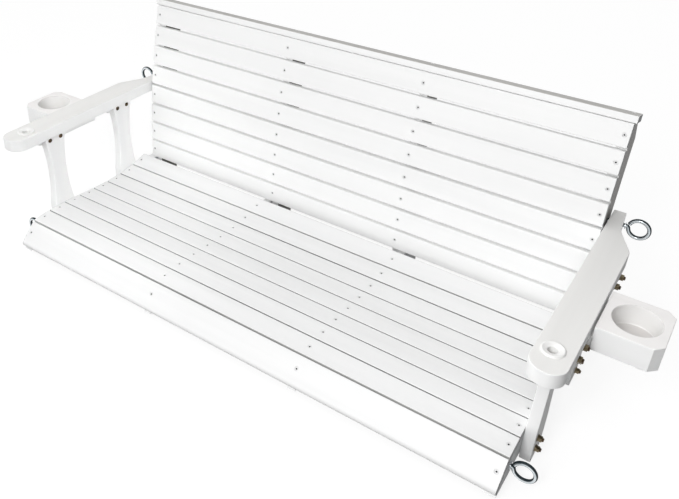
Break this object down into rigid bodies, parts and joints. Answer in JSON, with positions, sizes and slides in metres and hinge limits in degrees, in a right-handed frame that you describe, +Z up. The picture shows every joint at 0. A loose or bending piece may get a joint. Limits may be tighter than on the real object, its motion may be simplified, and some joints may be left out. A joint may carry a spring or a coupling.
{
  "type": "porch swing seat",
  "caption": "Slatted wooden hanging bench seat with a curved back, two arms with outboard cup holders, and eyes for hanging chains.",
  "frame": {"origin": "under the middle of the bench's overall box, level with the lower ends of the arm posts", "axes": "+X along the bench to the right as seen from the front, +Y from front to back, +Z up"},
  "size_m": [1.5336, 0.5855, 0.5177],
  "materials": {
    "white_wood": "white paint, satin",
    "zinc_steel": "bright zinc",
    "brassy_steel": "yellow passivated zinc",
    "screw_steel": "plain zinc",
    "white_plastic": "moulded, slight sheen"
  },
  "bodies": {
    "root": {"arm_block_front_left": "white_wood", "arm_block_front_right": "white_wood", "arm_block_rear_left": "white_wood", "arm_block_rear_right": "white_wood", "arm_block_screws": "screw_steel", "arm_left": "white_wood", "arm_post_front_left": "white_wood", "arm_post_front_right": "white_wood", "arm_post_rear_left": "white_wood", "arm_post_rear_right": "white_wood", "arm_right": "white_wood", "back_cap_rail": "white_wood", "back_joint_bolts": "brassy_steel", "back_joint_nuts": "brassy_steel", "back_joint_washers": "brassy_steel", "back_screws": "screw_steel", "back_slat_1": "white_wood", "back_slat_2": "white_wood", "back_slat_3": "white_wood", "back_slat_4": "white_wood", "back_slat_5": "white_wood", "back_slat_6": "white_wood", "back_slat_7": "white_wood", "back_slat_8": "white_wood", "back_upright_end_left": "white_wood", "back_upright_end_right": "white_wood", "back_upright_inner_left": "white_wood", "back_upright_inner_right": "white_wood", "cap_screws": "screw_steel", "chain_bushing_left": "white_plastic", "chain_bushing_right": "white_plastic", "cup_holder_left": "white_wood", "cup_holder_right": "white_wood", "cup_holder_screws": "screw_steel", "eye_bolt_front_left": "zinc_steel", "eye_bolt_front_right": "zinc_steel", "eye_bolt_nuts": "zinc_steel", "eye_bolt_rear_left": "zinc_steel", "eye_bolt_rear_right": "zinc_steel", "eye_bolt_washers": "zinc_steel", "nose_board": "white_wood", "post_lower_bolts": "brassy_steel", "post_lower_nuts": "brassy_steel", "post_lower_washers": "brassy_steel", "post_upper_bolts": "brassy_steel", "post_upper_nuts": "brassy_steel", "post_upper_washers": "brassy_steel", "seat_rail_end_left": "white_wood", "seat_rail_end_right": "white_wood", "seat_rail_inner_left": "white_wood", "seat_rail_inner_right": "white_wood", "seat_screws": "screw_steel", "seat_slat_1": "white_wood", "seat_slat_2": "white_wood", "seat_slat_3": "white_wood", "seat_slat_4": "white_wood", "seat_slat_5": "white_wood", "seat_slat_6": "white_wood", "seat_slat_7": "white_wood", "seat_slat_8": "white_wood"}
  },
  "joints": []
}
